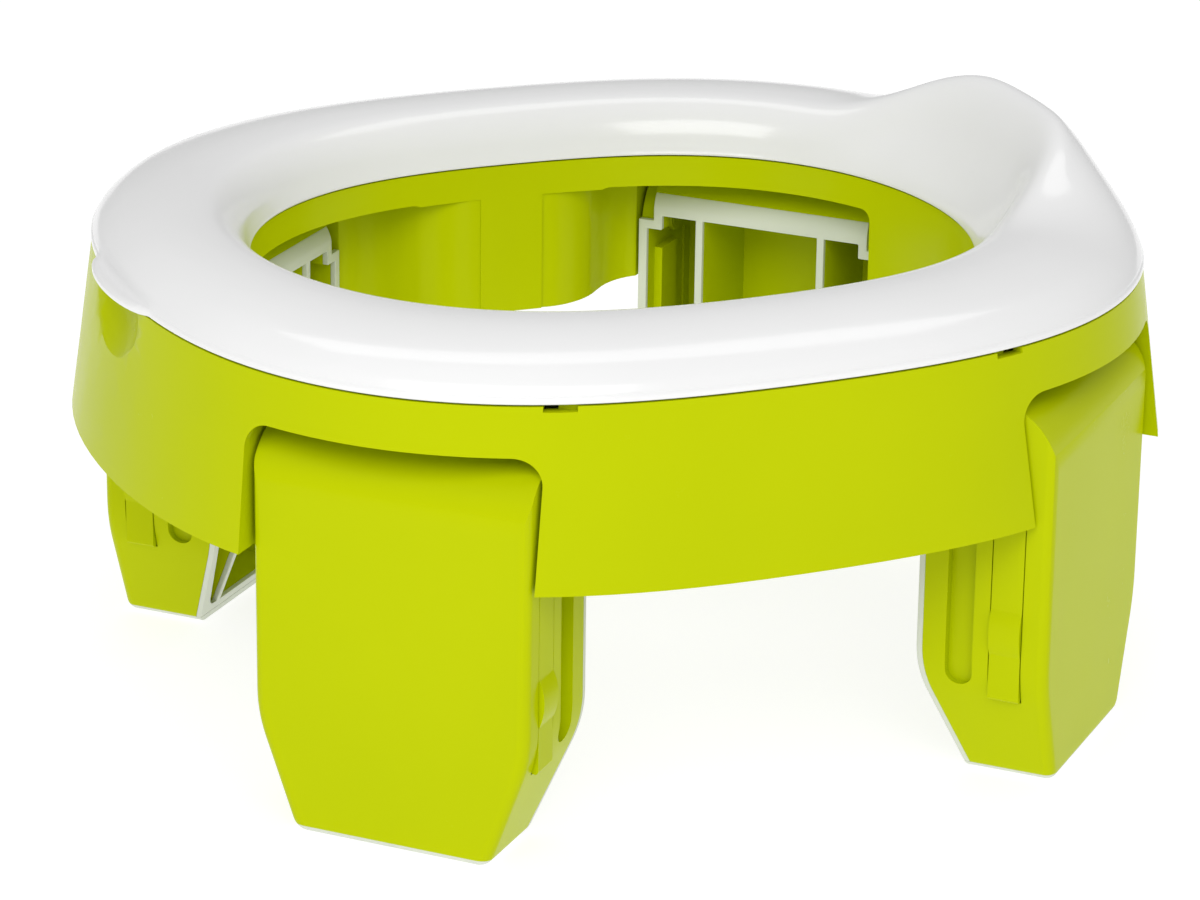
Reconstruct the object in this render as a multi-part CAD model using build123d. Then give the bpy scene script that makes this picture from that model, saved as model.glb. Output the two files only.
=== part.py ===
from build123d import *
import math
import os

# Driving dimensions, mm. +X is the splash guard end, +Z is up, the floor is z = 0.
seat_terms = [147.6, -0.9, 6.9, 0.9, -4.5]
opening_terms = [99.0, -1.1, 8.6, 0.2, -2.0]
outline_steps = 24
seat_edge_z = 132.8
opening_edge_z = 129.4
crown_height = 13.4
hump_height = 30.6
hump_full_deg = 12.0
hump_end_deg = 30.5
seat_wall = 2.6
seat_gap = 0.5

frame_top_z = seat_edge_z - seat_gap
frame_bottom_z = 81.5
skirt_flare = 6.8
skirt_top_inset = 0.3
frame_wall = 2.6
deck_top_z = 128.8
deck_under_z = 126.2
notch_top_z = 118.6
notch_corner_r = 8.0
collar_notch_z = 119.3
collar_corner_r = 3.5
pocket_out = 136.0
heel_half = 36.0
heel_z = 101.0
collar_recess = 0.8
pocket_half = 42.35
rim_width = 3.0

pivot_out = 132.0
pivot_z = 97.5
pin_r = 4.0
pin_hole_r = 4.05

leg_half = 41.15
leg_face = 150.0
leg_inner = 111.5
leg_wall = 2.8
liner = 1.8
foot_pad = 2.2
foot_half = 29.2
foot_inner = 124.2
taper_z = 33.0
leg_top_r = 18.0
rib_at = 20.5
rib_wall = 2.4
leg_edge_r = 3.2
knee_r = 42.0
toe_r = 5.0

strip_low = 132.8
strip_high = 142.5
strip_bottom_z = 27.0
strip_top_z = 90.3
strip_gap = 0.3
strip_wall = 2.2
pad_low_z = 40.0
pad_high_z = 56.0
pad_out = 1.6
nose_out = 0.9
catch_depth = 1.1
groove_low = 120.1
groove_high = 128.1
groove_bottom_z = 30.0
groove_top_z = 88.0
groove_depth = 3.4

vent_degs = (-117.0, -63.0, 63.0, 117.0)
hook_degs = (-157.0, -108.0, -72.0, -38.0, 38.0, 72.0, 108.0, 157.0)
leg_angles = {"rear_left": 135.0, "rear_right": 225.0, "front_right": 315.0, "front_left": 45.0}


def radius(terms, deg):
    a = math.radians(deg)
    return sum(k * math.cos(i * a) for i, k in enumerate(terms))


def outline_points(terms, off):
    pts = []
    for i in range(outline_steps):
        deg = 360.0 * i / outline_steps
        a = math.radians(deg)
        r = radius(terms, deg)
        slope = (radius(terms, deg + 0.5) - radius(terms, deg - 0.5)) / math.radians(1.0)
        n = math.hypot(r, slope)
        nx = (r * math.cos(a) + slope * math.sin(a)) / n
        ny = (r * math.sin(a) - slope * math.cos(a)) / n
        pts.append((r * math.cos(a) + off * nx, r * math.sin(a) + off * ny))
    return pts


def outline_face(terms, off, z):
    pts = [(x, y, z) for x, y in outline_points(terms, off)]
    return Face(Wire([Edge.make_spline([Vector(*p) for p in pts], periodic=True)]))


def prism(face, height):
    return Solid.extrude(face, Vector(0, 0, height))


def drafted(inset, z0, z1):
    """Solid under the drafted skirt surface, moved inward by inset, between two heights."""
    slope = (skirt_flare + skirt_top_inset) / (frame_top_z - frame_bottom_z)
    low = skirt_flare - slope * (z0 - frame_bottom_z) - inset
    high = skirt_flare - slope * (z1 - frame_bottom_z) - inset
    wires = [outline_face(seat_terms, low, z0).outer_wire(), outline_face(seat_terms, high, z1).outer_wire()]
    return Solid.make_loft(wires, True)


def turned(shape, deg):
    return shape.rotate(Axis.Z, deg)


def block(x0, x1, y0, y1, z0, z1):
    return Pos((x0 + x1) / 2, (y0 + y1) / 2, (z0 + z1) / 2) * Box(x1 - x0, y1 - y0, z1 - z0)


def rounded_gate(x0, x1, half, z0, z1, r):
    """Block with its two upper long edges rounded: a notch seen from outside the skirt."""
    gate = block(x0, x1, -half, half, z0, z1)
    edges = gate.edges().filter_by(Axis.X).group_by(Axis.Z)[-1]
    return fillet(edges, r)


def scoop_points(off):
    """Inner wall of a long-side panel between the pocket corner and the collar."""
    base = [(51.0, 109.4), (43.0, 108.0), (35.5, 103.0), (29.0, 96.0), (21.5, 91.2), (10.0, 89.6)]
    out = []
    for i, p in enumerate(base):
        q0 = base[max(i - 1, 0)]
        q1 = base[min(i + 1, len(base) - 1)]
        dx, dy = q1[0] - q0[0], q1[1] - q0[1]
        n = math.hypot(dx, dy)
        out.append((p[0] + off * dy / n, p[1] - off * dx / n))
    return out


def scoop_cut(off, z0, z1, sx, sy):
    pts = scoop_points(off)
    curve = Edge.make_spline([Vector(sx * x, sy * y, z0) for x, y in pts])
    ends = [(sx * pts[-1][0], sy * 70.0), (sx * 70.0, sy * 70.0), (sx * 70.0, sy * pts[0][1])]
    loop = [Vector(sx * pts[-1][0], sy * pts[-1][1], z0)]
    loop += [Vector(x, y, z0) for x, y in ends]
    loop.append(Vector(sx * pts[0][0], sy * pts[0][1], z0))
    lines = [Edge.make_line(loop[i], loop[i + 1]) for i in range(len(loop) - 1)]
    return prism(Face(Wire([curve] + lines)), z1 - z0)


# Frame ring: drafted skirt, tray for the seat, collar, pockets and ribbed panel boxes.
frame = Part() + drafted(0.0, frame_bottom_z, frame_top_z)
opening_prism = prism(outline_face(opening_terms, collar_recess, 60.0), 90.0)
tray_prism = Part() + prism(outline_face(seat_terms, -rim_width - skirt_top_inset, deck_top_z), 20.0)
tray_prism -= block(-150.0, -139.0, -27.0, 27.0, deck_top_z - 1.0, frame_top_z - 0.3)
frame = frame - [opening_prism, tray_prism]

gate = rounded_gate(pocket_out - 1.0, 200.0, pocket_half, 60.0, notch_top_z, notch_corner_r)
gate += rounded_gate(60.0, pocket_out, pocket_half, 60.0, collar_notch_z, collar_corner_r)
gates = [turned(gate, deg) for deg in leg_angles.values()]
scoops = [scoop_cut(0.0, 60.0, notch_top_z, sx, sy) for sx in (-1, 1) for sy in (-1, 1)]
frame = frame - gates
frame = frame - scoops

hollow = Part() + drafted(frame_wall, frame_bottom_z - 1.0, deck_under_z)
hollow -= prism(outline_face(opening_terms, collar_recess + frame_wall, 60.0), 90.0)
keep_off = pocket_half + frame_wall
walls = [turned(block(40.0, 220.0, -keep_off, keep_off, 60.0, 150.0), deg) for deg in leg_angles.values()]
walls += [scoop_cut(frame_wall, 60.0, 150.0, sx, sy) for sx in (-1, 1) for sy in (-1, 1)]
rib_low = frame_bottom_z + 3.0
for y0 in (-20.0, 0.0, 20.0):
    walls += [block(95.0, 165.0, y0 - 1.0, y0 + 1.0, rib_low, 150.0)]
    walls += [block(-165.0, -95.0, y0 - 1.0, y0 + 1.0, rib_low, 150.0)]
for x0 in (-38.0, -14.0, 14.0, 38.0):
    walls += [block(x0 - 1.0, x0 + 1.0, 80.0, 155.0, rib_low, 150.0)]
    walls += [block(x0 - 1.0, x0 + 1.0, -155.0, -80.0, rib_low, 150.0)]
walls += [block(-150.0, -139.0, -27.0, 27.0, 110.0, 150.0)]
panel = hollow - walls
frame = frame - panel
rooms = [hollow & turned(block(90.0, 220.0, -pocket_half, pocket_half, 90.0, 150.0), deg)
         for deg in leg_angles.values()]
frame = frame - rooms


def across(radius_mm, length, y):
    """Cylinder along the leg's pivot line, centred at y."""
    return Pos(pivot_out, y, pivot_z) * Rot(90, 0, 0) * Cylinder(radius_mm, length)


# Pivot bosses, holes and latch catches in the eight pocket walls.
bosses = []
bores = []
for deg in leg_angles.values():
    for side in (-1, 1):
        bosses.append(turned(across(8.0, 2.4, side * (pocket_half + frame_wall + 1.0)), deg))
        bores.append(turned(across(pin_hole_r, 12.0, side * (pocket_half + 4.0)), deg))
        c0 = side * (pocket_half - 1.0)
        c1 = side * (pocket_half + catch_depth)
        bores.append(turned(block(134.8, 140.5, min(c0, c1), max(c0, c1), 83.4, 88.6), deg))
frame = frame + bosses
frame = frame - bores

# Finger scoop under the lift tab, vents in the rim, and slots for the seat's snap hooks.
small = [scale(Sphere(45.0), by=(1.0, 1.0, 0.6)).moved(Location((-190.0, 0, 129.0)))]
for deg in vent_degs:
    r = radius(seat_terms, deg)
    vent = block(r - rim_width - 0.2, r + 4.0, -4.5, 4.5, frame_top_z - 1.5, frame_top_z + 1.0)
    small.append(turned(vent, deg))
for deg in hook_degs:
    r = radius(seat_terms, deg) - 12.0
    small.append(turned(block(r - 1.7, r + 1.9, -5.0, 5.0, deck_under_z - 4.0, deck_top_z + 1.0), deg))
frame = frame - small


# Seat ring: an arch section lofted round half the ring and mirrored.
def hump_at(deg):
    t = (hump_end_deg - abs(deg)) / (hump_end_deg - hump_full_deg)
    t = max(0.0, min(1.0, t))
    return t * t * (3 - 2 * t)


def seat_profile(deg):
    ro = radius(seat_terms, deg)
    ri = radius(opening_terms, deg)
    g = hump_at(deg)
    span = ro - ri
    plain = [
        (ro, seat_edge_z),
        (ro - 0.9, seat_edge_z + 3.6),
        (ro - 8.0, seat_edge_z + 9.0),
        (ro - 0.5 * span, seat_edge_z + crown_height),
        (ri + 10.0, seat_edge_z + crown_height - 0.8),
        (ri + 2.4, opening_edge_z + 9.0),
        (ri, opening_edge_z),
    ]
    raised = [
        (ro, seat_edge_z),
        (ro - 1.2, seat_edge_z + 6.5),
        (ro - 6.5, seat_edge_z + 16.5),
        (ro - 14.5, seat_edge_z + hump_height),
        (ro - 25.5, seat_edge_z + 20.0),
        (ri + 8.0, seat_edge_z + 6.0),
        (ri, opening_edge_z),
    ]
    return [(a[0] * (1 - g) + b[0] * g, a[1] * (1 - g) + b[1] * g) for a, b in zip(plain, raised)]


def inner_profile(pts):
    out = []
    for i, p in enumerate(pts):
        q0 = pts[max(i - 1, 0)]
        q1 = pts[min(i + 1, len(pts) - 1)]
        dx, dy = q1[0] - q0[0], q1[1] - q0[1]
        n = math.hypot(dx, dy)
        out.append((p[0] - seat_wall * dy / n, p[1] + seat_wall * dx / n))
    out[0] = (pts[0][0] - seat_wall, pts[0][1])
    out[-1] = (pts[-1][0] + seat_wall, pts[-1][1])
    return out


def seat_section(deg):
    a = math.radians(deg)
    top = seat_profile(deg)
    low = inner_profile(top)

    def place(p):
        return Vector(p[0] * math.cos(a), p[0] * math.sin(a), p[1])

    upper = Edge.make_spline([place(p) for p in top])
    under = Edge.make_spline([place(p) for p in reversed(low)])
    inner_lip = Edge.make_line(place(top[-1]), place(low[-1]))
    outer_lip = Edge.make_line(place(low[0]), place(top[0]))
    return Wire([upper, inner_lip, under, outer_lip])


half_degs = (0.0, 8.0, 14.0, 19.0, 24.0, 30.0, 38.0, 50.0, 65.0, 80.0, 95.0, 110.0, 125.0, 140.0, 153.0, 166.0, 180.0)
half = Part() + Solid.make_loft([seat_section(d) for d in half_degs], False)
seat = half + half.mirror(Plane.XZ)

# Lift tab, and hooks and a rib that stand on the seat's underside.
tab = Pos(-149.0, 0, seat_edge_z + 1.1) * extrude(Ellipse(4.6, 25.0), amount=1.1, both=True)
seat += tab
for deg in hook_degs:
    r = radius(seat_terms, deg) - 12.0
    top_z = seat_edge_z + 9.6
    hook = block(r - 1.1, r + 1.1, -4.0, 4.0, deck_under_z - 3.0, top_z)
    bead = block(r + 0.5, r + 1.5, -4.0, 4.0, deck_under_z - 2.6, deck_under_z - 0.8)
    seat += turned(hook, deg)
    seat += turned(bead, deg)


# One leg, built on the +X side and turned to its corner.
def side_solid():
    """Leg seen from the side: flat face, top rounded about the pivot, inner edge tapered to the foot."""
    half_turn = leg_top_r * math.cos(math.pi / 4)
    corners = [
        (leg_face, 0.0),
        (leg_face, pivot_z),
        (pivot_out, pivot_z + leg_top_r),
        (124.0, pivot_z + leg_top_r),
        (leg_inner, pivot_z + 8.0),
        (leg_inner, taper_z),
        (foot_inner, 0.0),
    ]
    shoulder = Vector(pivot_out + half_turn, -60.0, pivot_z + half_turn)
    heel = Vector(116.2, -60.0, pivot_z + 15.6)
    v = [Vector(x, -60.0, z) for x, z in corners]
    edges = [
        Edge.make_line(v[0], v[1]),
        Edge.make_three_point_arc(v[1], shoulder, v[2]),
        Edge.make_line(v[2], v[3]),
        Edge.make_three_point_arc(v[3], heel, v[4]),
        Edge.make_line(v[4], v[5]),
        Edge.make_line(v[5], v[6]),
        Edge.make_line(v[6], v[0]),
    ]
    face = Face(Wire(edges))
    knee = [v for v in face.vertices() if abs(v.X - leg_inner) < 0.01 and abs(v.Z - taper_z) < 0.01]
    face = face.fillet_2d(knee_r, knee)
    return Part() + Solid.extrude(face, Vector(0, 120.0, 0))


def front_solid(inset, low, high, x0, x1):
    """Leg seen from the front, as a prism along the outward direction."""
    a = leg_half - inset
    b = foot_half - inset
    pts = [(-a, high), (-a, taper_z), (-b, low), (b, low), (a, taper_z), (a, high)]
    face = Face(Wire.make_polygon([Vector(x0, y, z) for y, z in pts], close=True))
    knees = [v for v in face.vertices() if abs(v.Z - taper_z) < 0.01]
    face = face.fillet_2d(knee_r, knees)
    toes = [v for v in face.vertices() if abs(v.Z - low) < 0.01]
    face = face.fillet_2d(toe_r, toes)
    return Part() + Solid.extrude(face, Vector(x1 - x0, 0, 0))


def heel_corners(half, z0, r_keep):
    """Inner top corners of the leg outside a circle about the pivot, which foul the skirt when it folds in."""
    corner = block(80.0, pivot_out, half, 60.0, z0, 130.0) + block(80.0, pivot_out, -60.0, -half, z0, 130.0)
    return corner - across(r_keep, 130.0, 0.0)


outer_front = front_solid(0.0, 0.0, 130.0, 100.0, leg_face)
rim = outer_front.faces().sort_by(Axis.X)[-1].edges()
outer_front = fillet([e for e in rim if e.center().Z < 129.0], leg_edge_r)
outer_body = outer_front & side_solid()
outer_body -= heel_corners(heel_half, heel_z, leg_top_r - 0.1)
shell_side = Pos(liner, 0, 0) * side_solid() + block(leg_inner + liner, 160.0, -60.0, 60.0, pivot_z, 130.0)
shell_body = shell_side & block(90.0, 160.0, -60.0, 60.0, foot_pad, 130.0)

room_front = front_solid(leg_wall, foot_pad + leg_wall, 130.0, 90.0, leg_face - leg_wall)
room_top = across(leg_top_r - leg_wall, 120.0, 0.0)
room_low = block(90.0, leg_face - leg_wall, -60.0, 60.0, 0.0, pivot_z)
room_mid = block(118.5, pivot_out, -60.0, 60.0, pivot_z - 1.0, pivot_z + leg_top_r - leg_wall)
room_in = block(90.0, 119.0, -60.0, 60.0, pivot_z - 1.0, pivot_z + 5.4)
room = room_front & (room_top + room_low + room_mid + room_in)
room -= heel_corners(heel_half - leg_wall, heel_z - leg_wall, leg_top_r - leg_wall)
for side in (-1, 1):
    y0 = side * rib_at
    room -= block(80.0, 160.0, y0 - rib_wall / 2, y0 + rib_wall / 2, 0.0, 130.0)
    g0 = side * (leg_half - groove_depth - 2.0)
    g1 = side * leg_half
    room -= block(groove_low - 1.8, groove_high + 1.8, min(g0, g1), max(g0, g1), groove_bottom_z - 2.0,
                  groove_top_z + 2.0)

structure = outer_body - room
leg_shell = structure & shell_body
leg_liner = structure - shell_body
leg_foot = leg_liner & block(90.0, 160.0, -60.0, 60.0, -1.0, foot_pad)
leg_edge = leg_liner - block(90.0, 160.0, -60.0, 60.0, -1.0, foot_pad)

for side in (-1, 1):
    y_in = side * (leg_half - groove_depth)
    y_out = side * (leg_half + 1.0)
    groove = block(groove_low, groove_high, min(y_in, y_out), max(y_in, y_out), groove_bottom_z + 4.0,
                   groove_top_z - 4.0)
    mid_x = (groove_low + groove_high) / 2
    mid_y = (y_in + y_out) / 2
    for gz in (groove_bottom_z + 4.0, groove_top_z - 4.0):
        groove += Pos(mid_x, mid_y, gz) * Rot(90, 0, 0) * Cylinder(4.0, groove_depth + 1.0)
    leg_shell -= groove
    w0 = side * (leg_half - 5.0)
    w1 = side * (leg_half + 1.0)
    leg_shell -= block(strip_low, strip_high, min(w0, w1), max(w0, w1), strip_bottom_z, strip_top_z)
    leg_shell -= across(pin_r, 12.0, side * (leg_half - 4.0))

pins = Part()
for side in (-1, 1):
    y0 = side * (leg_half - 5.0)
    y1 = side * (pocket_half + frame_wall + 2.2)
    pins += across(pin_r, abs(y1 - y0), (y0 + y1) / 2)
    pins += across(pin_r + 1.2, 2.0, side * (leg_half - leg_wall - 1.05))


def latch(side):
    """Spring strip with a finger pad and a catch nose; its outside is flush with the leg's side wall."""
    y1 = leg_half
    y0 = leg_half - strip_wall
    x0 = strip_low + strip_gap
    x1 = strip_high - strip_gap
    root_z = strip_bottom_z + strip_gap + strip_wall / 2
    strip = block(x0, x1, y0, y1, root_z, strip_top_z - strip_gap)
    strip += Pos((x0 + x1) / 2, y1 - strip_wall / 2, root_z) * Rot(0, 90, 0) * Cylinder(strip_wall / 2, x1 - x0)
    mid_z = (pad_low_z + pad_high_z) / 2
    half_z = (pad_high_z - pad_low_z) / 2
    arc = [Vector(x0, y1 - 0.5, pad_low_z), Vector(x0, y1 + pad_out, mid_z + 1.5), Vector(x0, y1 - 0.5, pad_high_z)]
    edges = [Edge.make_three_point_arc(arc[0], arc[1], arc[2]), Edge.make_line(arc[2], arc[0])]
    pad = Part() + Solid.extrude(Face(Wire(edges)), Vector(x1 - x0, 0, 0))
    nose = block(x0 + 2.6, x1 - 2.6, y1 - 0.5, y1 + nose_out, 84.2, 87.8)
    whole = strip + pad + nose
    return whole if side > 0 else whole.mirror(Plane.XZ)


os.makedirs("parts", exist_ok=True)
export_step(frame, "parts/frame_ring.step")
export_step(seat, "parts/seat_ring.step")
for name, deg in leg_angles.items():
    export_step(turned(leg_shell, deg), f"parts/leg_shell_{name}.step")
    export_step(turned(leg_edge, deg), f"parts/leg_edge_liner_{name}.step")
    export_step(turned(leg_foot, deg), f"parts/leg_foot_pad_{name}.step")
    export_step(turned(pins, deg), f"parts/leg_pins_{name}.step")
    export_step(turned(latch(1), deg), f"parts/latch_a_{name}.step")
    export_step(turned(latch(-1), deg), f"parts/latch_b_{name}.step")
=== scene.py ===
import math

import bpy
from mathutils import Matrix, Vector


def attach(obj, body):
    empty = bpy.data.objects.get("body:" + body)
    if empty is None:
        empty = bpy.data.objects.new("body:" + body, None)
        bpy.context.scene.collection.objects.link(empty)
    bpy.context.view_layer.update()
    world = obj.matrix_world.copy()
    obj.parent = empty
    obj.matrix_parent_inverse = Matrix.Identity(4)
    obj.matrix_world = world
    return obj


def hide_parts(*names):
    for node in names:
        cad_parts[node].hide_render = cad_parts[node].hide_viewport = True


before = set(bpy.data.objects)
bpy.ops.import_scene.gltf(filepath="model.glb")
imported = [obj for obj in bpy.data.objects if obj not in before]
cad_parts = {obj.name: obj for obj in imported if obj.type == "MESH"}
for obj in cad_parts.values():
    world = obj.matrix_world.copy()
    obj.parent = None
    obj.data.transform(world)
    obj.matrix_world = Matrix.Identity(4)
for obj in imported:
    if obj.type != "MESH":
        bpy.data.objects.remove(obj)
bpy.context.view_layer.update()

# Shapes are worked out in millimetres, and MM turns them into the frame's metres.
MM = 0.001

# Outlines of the seat and its opening: the radius is a sum of cosines of the angle from +X, with these terms.
SEAT = (147.6, -0.9, 6.9, 0.9, -4.5)
OPENING = (99.0, -1.1, 8.6, 0.2, -2.0)

# Heights above the floor.
SEAT_EDGE_Z = 132.8
OPENING_EDGE_Z = 129.4
CROWN_Z = SEAT_EDGE_Z + 13.4
HUMP_Z = SEAT_EDGE_Z + 30.6

# The splash guard stands at +X and falls away to both sides. Its ends are blurred over a few degrees.
HUMP_END_DEG = 32.5
HUMP_SLOPE_DEG = 20.7
HUMP_BLUR_DEGS = (-6.0, -3.0, 0.0, 3.0, 6.0)

# The lift tab stands out at -X.
TAB_OUT = 4.2
TAB_HALF_DEG = 9.6

# Seat mesh: sections round the ring, steps between two points of a profile, and the stretch of the
# underside that follows the top at the wall's thickness.
SEAT_SECTIONS = 288
TOP_STEPS = 4
UNDER_STEPS = 2
UNDER_FIRST = 12
UNDER_LAST = -6
SEAT_WALL = 2.4

# Snap hooks: a section of (outwards, height) points, as wide as two half widths.
HOOK_DEGS = (-157.0, -108.0, -72.0, -38.0, 38.0, 72.0, 108.0, 157.0)
HOOK_INSET = 12.0
HOOK_HALF_WIDTH = 4.0
HOOK_TOP_Z = 142.0
HOOK_SECTION = (
    (-1.1, HOOK_TOP_Z),
    (-1.1, 124.0),
    (-0.5, 123.3),
    (0.3, 123.3),
    (1.45, 124.4),
    (1.45, 125.0),
    (1.1, 125.5),
    (1.1, HOOK_TOP_Z),
)


def radius(terms, deg):
    angle = math.radians(deg)
    return sum(k * math.cos(i * angle) for i, k in enumerate(terms))


def smooth(t):
    t = max(0.0, min(1.0, t))
    return t * t * (3 - 2 * t)


# ---------------------------------------------------------------- materials

DRIFT_SCALE = 14.0
HAZE_SCALE = 60.0
SCUFF_SCALE = 900.0
SCUFF_SHARE = 0.35
PEEL_DEPTH = 0.0004
GRAIN_DEPTH = 0.00008
COAT_ROUGHNESS = 0.08


def socket(shader, name, value):
    shader.inputs[name].default_value = value


def new_material(name):
    material = bpy.data.materials.new(name)
    material.use_nodes = True
    tree = material.node_tree
    tree.nodes.clear()
    out = tree.nodes.new("ShaderNodeOutputMaterial")
    shader = tree.nodes.new("ShaderNodeBsdfPrincipled")
    tree.links.new(shader.outputs[0], out.inputs[0])
    return material, tree, shader


def noise(tree, coord, scale, detail, rough=0.5):
    node = tree.nodes.new("ShaderNodeTexNoise")
    node.inputs["Scale"].default_value = scale
    node.inputs["Detail"].default_value = detail
    node.inputs["Roughness"].default_value = rough
    tree.links.new(coord, node.inputs["Vector"])
    return node.outputs["Fac"]


def between(tree, factor, low, high):
    """The colour low where the factor is weak and high where it is strong, with a soft change."""
    node = tree.nodes.new("ShaderNodeValToRGB")
    for element, position, colour in zip(node.color_ramp.elements, (0.3, 0.7), (low, high)):
        element.position = position
        element.color = (*colour, 1.0)
    tree.links.new(factor, node.inputs[0])
    return node.outputs["Color"]


def grey(value):
    return (value, value, value)


def bump(tree, height, strength, depth):
    node = tree.nodes.new("ShaderNodeBump")
    node.inputs["Strength"].default_value = strength
    node.inputs["Distance"].default_value = depth
    tree.links.new(height, node.inputs["Height"])
    return node


def moulded(name, colours, roughness, peel, grain, coat, ior):
    """Moulded plastic: faint colour drift, gloss variation with fine scuffs, orange peel and micro grain.

    colours and roughness are (low, high), peel and grain are (strength, scale).
    """
    material, tree, shader = new_material(name)
    coord = tree.nodes.new("ShaderNodeTexCoord").outputs["Object"]

    drift = noise(tree, coord, DRIFT_SCALE, 3.0)
    tree.links.new(between(tree, drift, *colours), shader.inputs["Base Color"])

    gloss = tree.nodes.new("ShaderNodeMix")
    gloss.data_type = "FLOAT"
    gloss.inputs[0].default_value = SCUFF_SHARE
    tree.links.new(noise(tree, coord, HAZE_SCALE, 4.0, 0.6), gloss.inputs[2])
    tree.links.new(noise(tree, coord, SCUFF_SCALE, 2.0, 0.6), gloss.inputs[3])
    rough_low, rough_high = roughness
    rough = between(tree, gloss.outputs[0], grey(rough_low), grey(rough_high))
    tree.links.new(rough, shader.inputs["Roughness"])

    peel_strength, peel_scale = peel
    grain_strength, grain_scale = grain
    peel_bump = bump(tree, noise(tree, coord, peel_scale, 2.0), peel_strength, PEEL_DEPTH)
    grain_bump = bump(tree, noise(tree, coord, grain_scale, 3.0, 0.7), grain_strength, GRAIN_DEPTH)
    tree.links.new(peel_bump.outputs[0], grain_bump.inputs["Normal"])
    tree.links.new(grain_bump.outputs[0], shader.inputs["Normal"])

    socket(shader, "IOR", ior)
    socket(shader, "Coat Weight", coat)
    socket(shader, "Coat Roughness", COAT_ROUGHNESS)
    return material


green_plastic = moulded(
    "green_plastic",
    colours=((0.500, 0.580, 0.0002), (0.522, 0.600, 0.0003)),
    roughness=(0.20, 0.28),
    peel=(0.02, 90.0),
    grain=(0.015, 2400.0),
    coat=0.0,
    ior=1.13,
)
white_plastic = moulded(
    "white_plastic",
    colours=(grey(0.865), grey(0.885)),
    roughness=(0.15, 0.22),
    peel=(0.02, 70.0),
    grain=(0.01, 2400.0),
    coat=0.35,
    ior=1.46,
)
soft_liner = moulded(
    "soft_liner",
    colours=((0.66, 0.70, 0.60), (0.74, 0.77, 0.68)),
    roughness=(0.50, 0.62),
    peel=(0.05, 200.0),
    grain=(0.3, 3200.0),
    coat=0.0,
    ior=1.4,
)
pin_plastic = moulded(
    "pin_plastic",
    colours=((0.43, 0.51, 0.0004), (0.47, 0.55, 0.0006)),
    roughness=(0.38, 0.46),
    peel=(0.04, 200.0),
    grain=(0.2, 2600.0),
    coat=0.0,
    ior=1.3,
)

# ---------------------------------------------------------------- pieces in general

WELD_GAP = 0.02
ROUND_ANGLE_DEG = 35.0
ROUND_SEGMENTS = 2
NORMAL_WEIGHT = 60


def dress(obj, material):
    obj.data.materials.clear()
    obj.data.materials.append(material)
    for face in obj.data.polygons:
        face.material_index = 0


def mesh_object(name, verts, faces, material, smooth_faces=True):
    mesh = bpy.data.meshes.new(name)
    mesh.from_pydata([Vector(v) * MM for v in verts], [], faces)
    mesh.update()
    obj = bpy.data.objects.new(name, mesh)
    bpy.context.scene.collection.objects.link(obj)
    for face in mesh.polygons:
        face.use_smooth = smooth_faces
    dress(obj, material)
    return obj


def rounded(obj, width):
    """Round the sharp edges by a bevel of this width, and keep the flat faces flat in the shading."""
    weld = obj.modifiers.new("weld", "WELD")
    weld.merge_threshold = WELD_GAP * MM
    bevel = obj.modifiers.new("bevel", "BEVEL")
    bevel.width = width * MM
    bevel.segments = ROUND_SEGMENTS
    bevel.limit_method = "ANGLE"
    bevel.angle_limit = math.radians(ROUND_ANGLE_DEG)
    bevel.use_clamp_overlap = True
    bevel.harden_normals = False
    normals = obj.modifiers.new("normals", "WEIGHTED_NORMAL")
    normals.mode = "FACE_AREA"
    normals.weight = NORMAL_WEIGHT
    normals.keep_sharp = False


# ---------------------------------------------------------------- seat

def hump_at(deg):
    """How far the seat has turned into the splash guard at this angle, from 0 to 1."""
    off = abs((deg + 180.0) % 360.0 - 180.0)
    parts = [smooth((HUMP_END_DEG - abs(off + shift)) / HUMP_SLOPE_DEG) for shift in HUMP_BLUR_DEGS]
    return sum(parts) / len(parts)


def tab_at(deg):
    """How far the lift tab stands out at this angle, from 0 to 1: half an ellipse."""
    off = abs(deg % 360.0 - 180.0)
    return math.sqrt(max(0.0, 1.0 - (off / TAB_HALF_DEG) ** 2))


def plain_profile(outer, inner, tab):
    """Top of the plain ring from its outer edge to the opening, as (radius, height) points."""
    lip = TAB_OUT * tab
    span = outer - inner
    return [
        (outer - 0.5 + lip, SEAT_EDGE_Z),
        (outer - 0.05 + lip, SEAT_EDGE_Z + 0.35),
        (outer + lip, SEAT_EDGE_Z + 1.0),
        (outer - 0.15 + lip, SEAT_EDGE_Z + 1.7),
        (outer - 0.6 + 0.75 * lip, SEAT_EDGE_Z + 2.2 - 0.1 * tab),
        (outer - 0.9, SEAT_EDGE_Z + 2.9 - 0.5 * tab),
        (outer - 3.0, SEAT_EDGE_Z + 5.6),
        (outer - 8.2, SEAT_EDGE_Z + 9.3),
        (outer - 0.33 * span, SEAT_EDGE_Z + 12.0),
        (outer - 0.5 * span, CROWN_Z),
        (inner + 0.34 * span, CROWN_Z + 0.1),
        (inner + 10.0, CROWN_Z - 1.0),
        (inner + 5.4, OPENING_EDGE_Z + 12.4),
        (inner + 2.4, OPENING_EDGE_Z + 8.0),
        (inner + 0.9, OPENING_EDGE_Z + 3.4),
        (inner + 0.25, OPENING_EDGE_Z + 1.2),
        (inner, OPENING_EDGE_Z + 0.5),
        (inner + 0.3, OPENING_EDGE_Z),
    ]


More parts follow.
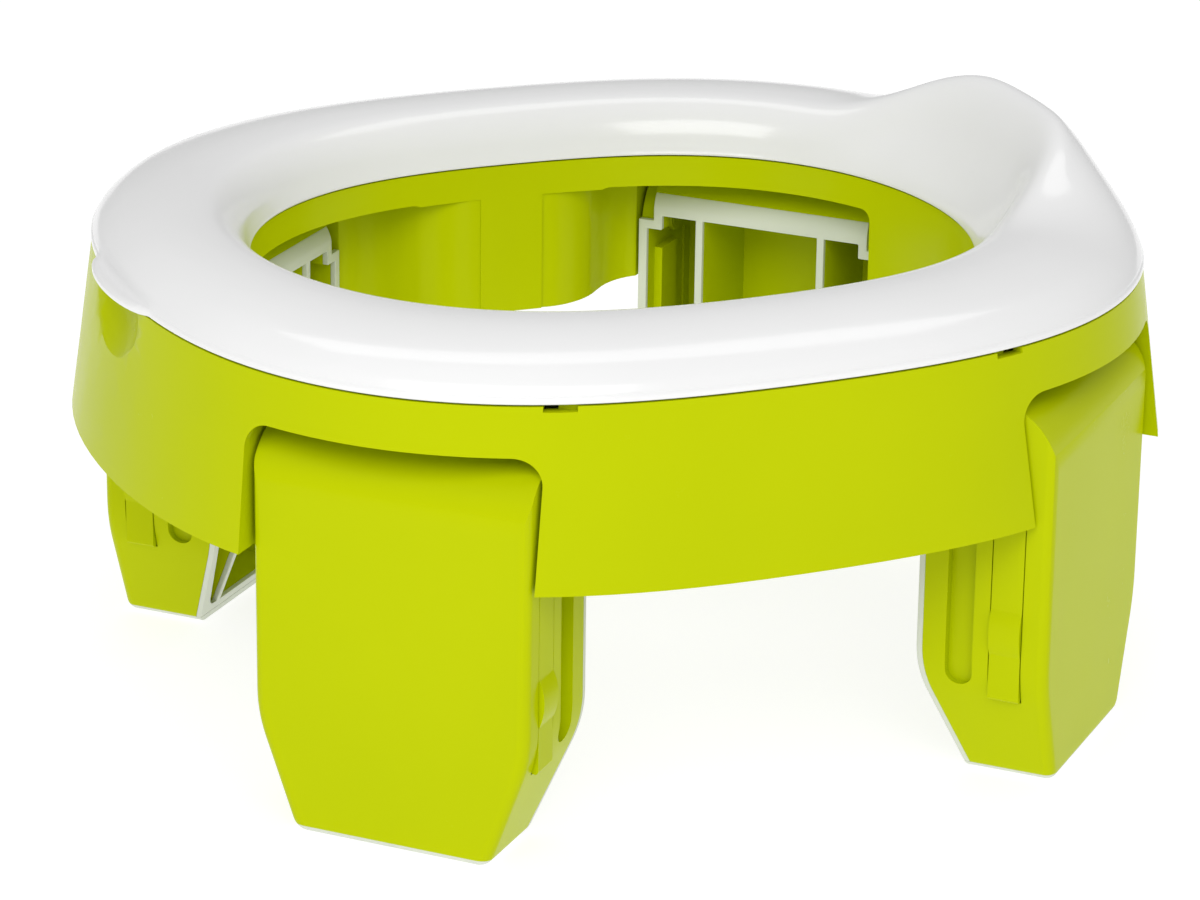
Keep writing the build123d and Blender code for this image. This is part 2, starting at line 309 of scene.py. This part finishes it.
def raised_profile(outer, inner):
    """Top of the splash guard from its outer edge to the opening, point for point as on the plain ring."""
    return [
        (outer - 0.5, SEAT_EDGE_Z),
        (outer - 0.05, SEAT_EDGE_Z + 0.35),
        (outer, SEAT_EDGE_Z + 1.0),
        (outer - 0.15, SEAT_EDGE_Z + 1.7),
        (outer - 0.5, SEAT_EDGE_Z + 3.0),
        (outer - 1.6, SEAT_EDGE_Z + 5.8),
        (outer - 4.2, SEAT_EDGE_Z + 10.8),
        (outer - 7.5, SEAT_EDGE_Z + 16.2),
        (outer - 11.0, SEAT_EDGE_Z + 21.8),
        (outer - 14.6, SEAT_EDGE_Z + 26.8),
        (outer - 18.8, HUMP_Z),
        (outer - 23.2, SEAT_EDGE_Z + 29.2),
        (outer - 28.4, SEAT_EDGE_Z + 23.0),
        (outer - 33.8, SEAT_EDGE_Z + 14.6),
        (inner + 5.6, SEAT_EDGE_Z + 6.2),
        (inner + 1.4, SEAT_EDGE_Z + 0.6),
        (inner, OPENING_EDGE_Z + 0.8),
        (inner + 0.3, OPENING_EDGE_Z),
    ]


def seat_profile(deg):
    """Top of the seat at this angle: the plain ring, the splash guard, or a mixture of the two."""
    outer = radius(SEAT, deg)
    inner = radius(OPENING, deg)
    rise = hump_at(deg)
    plain = plain_profile(outer, inner, tab_at(deg))
    raised = raised_profile(outer, inner)
    return [tuple(p * (1 - rise) + q * rise for p, q in zip(*pair)) for pair in zip(plain, raised)]


def curve_value(a, b, c, d, t):
    """Catmull-Rom curve from b to c, with a before them and d after."""
    line = (c - a) * t
    square = (2 * a - 5 * b + 4 * c - d) * t * t
    cube = (3 * b - a - 3 * c + d) * t ** 3
    return 0.5 * (2 * b + line + square + cube)


def curve_through(points, steps):
    """Smooth curve through the points, with this many steps between two of them."""
    last = len(points) - 1
    curve = []
    for i in range(last):
        near = (points[max(i - 1, 0)], points[i], points[i + 1], points[min(i + 2, last)])
        for k in range(steps):
            curve.append(tuple(curve_value(*values, k / steps) for values in zip(*near)))
    curve.append(points[last])
    return curve


def beneath(points, wall):
    """The profile moved inwards by the wall's thickness, square to its own direction."""
    moved = []
    for i, (out, z) in enumerate(points):
        before = points[max(i - 1, 0)]
        after = points[min(i + 1, len(points) - 1)]
        along = after[0] - before[0]
        rise = after[1] - before[1]
        length = math.hypot(along, rise)
        moved.append((out - wall * rise / length, z + wall * along / length))
    return moved


def seat_section(deg):
    """Closed section of the seat at this angle: the top, the opening's edge, the underside and the rim."""
    profile = seat_profile(deg)
    top = curve_through(profile, TOP_STEPS)
    under = beneath(curve_through(profile, UNDER_STEPS)[UNDER_FIRST:UNDER_LAST], SEAT_WALL)
    outer = radius(SEAT, deg)
    inner = top[-1][0]
    opening_edge = [(inner + 1.4, OPENING_EDGE_Z), (inner + 2.1, OPENING_EDGE_Z + 2.4)]
    rim = [(outer - 2.4, SEAT_EDGE_Z + 1.4), (outer - 1.8, SEAT_EDGE_Z)]
    return top + opening_edge + under[::-1] + rim


def seat_mesh():
    """The sections round the ring, each joined to the next by a band of four-sided faces."""
    sections = []
    for i in range(SEAT_SECTIONS):
        deg = 360.0 * i / SEAT_SECTIONS
        angle = math.radians(deg)
        sections.append([(out * math.cos(angle), out * math.sin(angle), z) for out, z in seat_section(deg)])
    count = len(sections[0])
    faces = []
    for i in range(SEAT_SECTIONS):
        here = i * count
        there = (i + 1) % SEAT_SECTIONS * count
        for k in range(count):
            m = (k + 1) % count
            faces.append((here + k, here + m, there + m, there + k))
    return [point for section in sections for point in section], faces


def hooks_mesh():
    """Snap hooks under the seat: flat tongues with a wedge-shaped bead at the foot."""
    verts = []
    faces = []
    count = len(HOOK_SECTION)
    for deg in HOOK_DEGS:
        angle = math.radians(deg)
        near = len(verts)
        far = near + count
        for side in (-HOOK_HALF_WIDTH, HOOK_HALF_WIDTH):
            for step, z in HOOK_SECTION:
                out = radius(SEAT, deg) - HOOK_INSET + step
                x = out * math.cos(angle) - side * math.sin(angle)
                y = out * math.sin(angle) + side * math.cos(angle)
                verts.append((x, y, z))
        for i in range(count):
            j = (i + 1) % count
            faces.append((near + i, near + j, far + j, far + i))
        faces.append(tuple(near + i for i in reversed(range(count))))
        faces.append(tuple(far + i for i in range(count)))
    return verts, faces


seat = mesh_object("seat", *seat_mesh(), white_plastic)
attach(seat, "seat")
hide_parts("seat_ring")

hooks = mesh_object("seat_hooks", *hooks_mesh(), white_plastic, smooth_faces=False)
rounded(hooks, 0.25)
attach(hooks, "seat")

# ---------------------------------------------------------------- CAD nodes that stay

# Start of the node's name: its material, and the width of its rounded edges.
KEPT = {
    "frame_ring": (green_plastic, 0.5),
    "leg_shell": (green_plastic, 0.4),
    "latch": (green_plastic, 0.2),
    "leg_edge_liner": (soft_liner, 0.3),
    "leg_foot_pad": (soft_liner, 0.3),
    "leg_pins": (pin_plastic, 0.3),
}

for name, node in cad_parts.items():
    for start, (material, width) in KEPT.items():
        if name.startswith(start):
            dress(node, material)
            rounded(node, width)

# ---------------------------------------------------------------- floor

FLOOR_HALF = 6000.0
FLOOR_GLOW = 0.78

floor_paper, floor_tree, floor_shader = new_material("floor_paper")
floor_coord = floor_tree.nodes.new("ShaderNodeTexCoord").outputs["Object"]
floor_colour = between(floor_tree, noise(floor_tree, floor_coord, 3.0, 2.0), grey(0.36), grey(0.38))
floor_tree.links.new(floor_colour, floor_shader.inputs["Base Color"])
socket(floor_shader, "Roughness", 0.9)
socket(floor_shader, "Emission Color", (1.0, 1.0, 1.0, 1.0))
socket(floor_shader, "Emission Strength", FLOOR_GLOW)
socket(floor_shader, "Specular IOR Level", 0.1)
floor_corners = [(FLOOR_HALF * x, FLOOR_HALF * y, 0.0) for x, y in ((-1, -1), (1, -1), (1, 1), (-1, 1))]
floor = mesh_object("floor", floor_corners, [(0, 1, 2, 3)], floor_paper)

# ---------------------------------------------------------------- light

SKY_STRENGTH = 0.47
LIGHTS_AIM = (0.0, 0.0, 0.1)

world = bpy.data.worlds.new("studio")
bpy.context.scene.world = world
world.use_nodes = True
world.node_tree.nodes["Background"].inputs[0].default_value = (1.0, 1.0, 1.0, 1.0)
world.node_tree.nodes["Background"].inputs[1].default_value = SKY_STRENGTH


def soft_light(name, place, length, width, power):
    """Rectangular lamp at this place in metres, turned to the object."""
    light = bpy.data.lights.new(name, "AREA")
    light.shape = "RECTANGLE"
    light.size = length
    light.size_y = width
    light.energy = power
    obj = bpy.data.objects.new(name, light)
    obj.location = place
    obj.rotation_euler = (Vector(LIGHTS_AIM) - Vector(place)).to_track_quat("-Z", "Y").to_euler()
    bpy.context.scene.collection.objects.link(obj)


soft_light("key", (-0.55, -1.02, 1.05), 1.4, 0.8, 11.5)
soft_light("top", (0.2, 0.5, 1.6), 1.8, 0.6, 5.0)

# ---------------------------------------------------------------- camera

CAMERA_AZIMUTH = math.radians(-21.446)
CAMERA_ELEVATION = math.radians(20.600)
CAMERA_ROLL = math.radians(0.81)
CAMERA_DISTANCE = 1.3883
CAMERA_AIM = (0.0, 0.0, 0.06)

camera_data = bpy.data.cameras.new("camera")
camera_data.sensor_width = 36.0
camera_data.lens = 140.69
camera_data.shift_x = -0.0113
camera_data.shift_y = 0.0176
camera_data.dof.use_dof = False
camera_data.clip_end = 50.0

level = math.cos(CAMERA_ELEVATION)
back = Vector((math.sin(CAMERA_AZIMUTH) * level, -math.cos(CAMERA_AZIMUTH) * level, math.sin(CAMERA_ELEVATION)))
right = Vector((math.cos(CAMERA_AZIMUTH), math.sin(CAMERA_AZIMUTH), 0.0))
up = back.cross(right)
rolled_right = right * math.cos(CAMERA_ROLL) + up * math.sin(CAMERA_ROLL)
rolled_up = up * math.cos(CAMERA_ROLL) - right * math.sin(CAMERA_ROLL)
turn = Matrix((rolled_right, rolled_up, back)).transposed()

camera = bpy.data.objects.new("camera", camera_data)
bpy.context.scene.collection.objects.link(camera)
bpy.context.scene.camera = camera
camera.matrix_world = Matrix.Translation(Vector(CAMERA_AIM) + back * CAMERA_DISTANCE) @ turn.to_4x4()

bpy.context.scene.view_settings.view_transform = "Standard"
bpy.context.view_layer.update()
